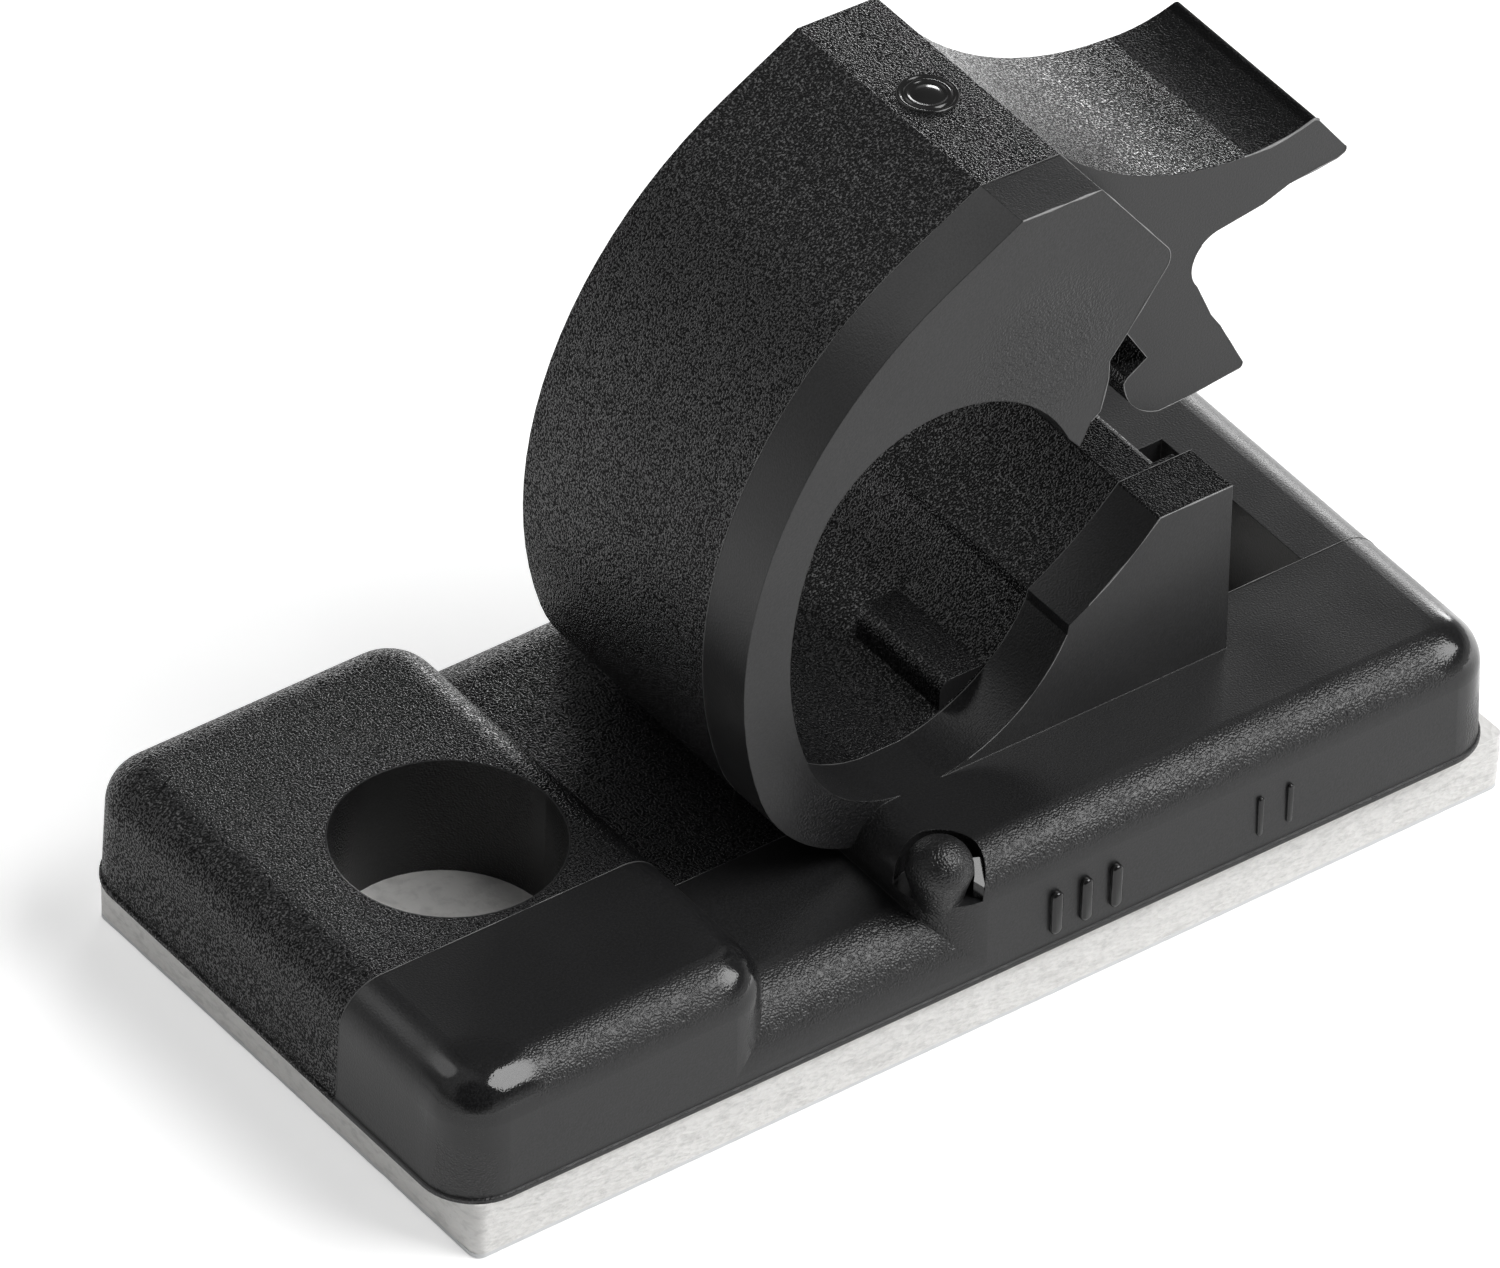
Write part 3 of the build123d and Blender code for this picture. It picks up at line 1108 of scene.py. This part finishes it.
def softbox(name, place, size, power):
    """White rectangular area lamp aimed at the clip."""
    data = bpy.data.lights.new(name, "AREA")
    data.shape = "RECTANGLE"
    data.size, data.size_y = size
    data.energy = power
    lamp = bpy.data.objects.new(name, data)
    lamp.location = place
    bpy.context.scene.collection.objects.link(lamp)
    aim(lamp, AIM_POINT)


def studio_world():
    """World that is white to the camera, and that the clip sees pale at the horizon and dim overhead.

    It also has a glow and a white card at the left, and the dark room in front.
    """
    world = bpy.data.worlds.new("studio_world")
    world.use_nodes = True
    tree = world.node_tree
    tree.nodes.clear()
    link = tree.links.new
    coordinates = add_node(tree, "ShaderNodeTexCoord", (-1000, 0))
    axes = add_node(tree, "ShaderNodeSeparateXYZ", (-800, 0))
    link(coordinates.outputs["Generated"], axes.inputs[0])
    horizon = map_range(tree, (-600, 0), axes.outputs["Z"], 0.07, 0.40, 0.88, 0.11)
    overhead = map_range(tree, (-600, -200), axes.outputs["Z"], 0.70, 0.95, 0.0, 0.06)
    leftward = map_range(tree, (-600, -400), axes.outputs["X"], 0.20, -0.15, 0.0, 0.30)
    raised = map_range(tree, (-600, -600), axes.outputs["Z"], 0.20, 0.55)
    left_glow = add_math(tree, "MULTIPLY", (-400, -500), leftward, raised)
    high_glow = add_math(tree, "ADD", (-400, -300), overhead, left_glow)
    sky = add_math(tree, "ADD", (-400, -100), horizon, high_glow)
    facing = coordinates.outputs["Generated"]
    near_dark = compared_with(tree, (-800, -900), facing, DARK_SIDE, "DOT_PRODUCT")
    dark_side = map_range(tree, (-600, -900), near_dark, 0.68, 0.90, 1.0, 0.04)
    sky = add_math(tree, "MULTIPLY", (-300, -100), sky, dark_side)
    near_card = compared_with(tree, (-800, -1100), facing, LEFT_CARD, "DOT_PRODUCT")
    card = map_range(tree, (-600, -1100), near_card, 0.955, 0.985, 0.0, 1.5)
    sky = add_math(tree, "ADD", (-300, -300), sky, card)
    path = add_node(tree, "ShaderNodeLightPath", (-600, 300))
    seen = add_math(tree, "MAXIMUM", (-200, 100), path.outputs["Is Camera Ray"], sky)
    background = add_node(tree, "ShaderNodeBackground", (0, 0))
    link(seen, background.inputs["Strength"])
    output = add_node(tree, "ShaderNodeOutputWorld", (300, 0))
    link(background.outputs["Background"], output.inputs["Surface"])
    bpy.context.scene.world = world


class CLIP_OT_studio(Operator):
    """Set the floor, lamps, world and camera of the photograph."""

    bl_idname = "cable_clip.studio"
    bl_label = "Studio"

    def execute(self, context):
        settings = context.scene.clip_studio
        scene = context.scene
        floor_mesh = bpy.data.meshes.new("studio_floor")
        shape = bmesh.new()
        bmesh.ops.create_grid(shape, x_segments=2, y_segments=2, size=FLOOR_SIZE)
        shape.to_mesh(floor_mesh)
        shape.free()
        floor = bpy.data.objects.new("studio_floor", floor_mesh)
        floor.location = (0.0, 0.0, -FLOOR_DROP)
        floor_mesh.materials.append(floor_material(settings))
        scene.collection.objects.link(floor)

        for name, place, size, share in SOFTBOXES:
            softbox(name, place, size, settings.key_power * share)
        studio_world()

        camera_data = bpy.data.cameras.new("photo_camera")
        camera_data.sensor_fit = "HORIZONTAL"
        camera_data.sensor_width = SENSOR_WIDTH
        camera_data.lens = settings.focal_pixels * SENSOR_WIDTH / PHOTO_WIDTH
        camera_data.clip_start = 0.01
        camera_data.clip_end = 10.0
        camera = bpy.data.objects.new("photo_camera", camera_data)
        turn, tip, lean = settings.azimuth, settings.elevation, settings.roll
        back = Vector((math.sin(turn) * math.cos(tip), -math.cos(turn) * math.cos(tip), math.sin(tip)))
        level = Vector((math.cos(turn), math.sin(turn), 0.0))
        upright = back.cross(level)
        right = math.cos(lean) * level + math.sin(lean) * upright
        up = -math.sin(lean) * level + math.cos(lean) * upright
        rotation = Matrix((right, up, back)).transposed()
        camera.matrix_world = Matrix.Translation(settings.camera_place) @ rotation.to_4x4()
        scene.collection.objects.link(camera)
        scene.camera = camera

        scene.view_settings.view_transform = "Standard"
        return {"FINISHED"}


# Panel and registration


class CLIP_PT_panel(Panel):
    """Sidebar panel that lists the clip's settings and steps."""

    bl_idname = "CLIP_PT_panel"
    bl_label = "Cable Clip"
    bl_space_type = "VIEW_3D"
    bl_region_type = "UI"
    bl_category = "Cable Clip"

    def draw(self, context):
        layout = self.layout
        for group, steps in PANEL_ROWS:
            settings = getattr(context.scene, group)
            box = layout.box()
            for name in settings.bl_rna.properties.keys():
                if name not in ("rna_type", "name"):
                    box.prop(settings, name)
            for step in steps:
                box.operator(step.bl_idname)


PANEL_ROWS = (
    ("clip_nylon", (CLIP_OT_nylon_finish, CLIP_OT_parting_line, CLIP_OT_edge_flash)),
    ("clip_marks", (CLIP_OT_round_mark, CLIP_OT_pin_pocket, CLIP_OT_wall_marks)),
    ("clip_pad", (CLIP_OT_foam_pad, CLIP_OT_release_liner)),
    ("clip_studio", (CLIP_OT_studio,)),
)

SETTINGS = {
    "clip_nylon": NylonSettings,
    "clip_marks": MarkSettings,
    "clip_pad": PadSettings,
    "clip_studio": StudioSettings,
}


def register():
    """Register the settings, the steps and the panel."""
    for group in SETTINGS.values():
        bpy.utils.register_class(group)
    for name, group in SETTINGS.items():
        setattr(bpy.types.Scene, name, PointerProperty(type=group))
    for _, steps in PANEL_ROWS:
        for step in steps:
            bpy.utils.register_class(step)
    bpy.utils.register_class(CLIP_PT_panel)


def unregister():
    """Take the panel, the steps and the settings out again."""
    bpy.utils.unregister_class(CLIP_PT_panel)
    for _, steps in reversed(PANEL_ROWS):
        for step in reversed(steps):
            bpy.utils.unregister_class(step)
    for name in SETTINGS:
        delattr(bpy.types.Scene, name)
    for group in reversed(list(SETTINGS.values())):
        bpy.utils.unregister_class(group)


def main():
    """Register the add-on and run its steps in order."""
    register()
    bpy.ops.cable_clip.nylon_finish()
    bpy.ops.cable_clip.parting_line()
    bpy.ops.cable_clip.edge_flash()
    bpy.ops.cable_clip.round_mark()
    bpy.ops.cable_clip.pin_pocket()
    bpy.ops.cable_clip.wall_marks()
    bpy.ops.cable_clip.foam_pad()
    bpy.ops.cable_clip.release_liner()
    bpy.ops.cable_clip.studio()


if __name__ == "__main__":
    main()
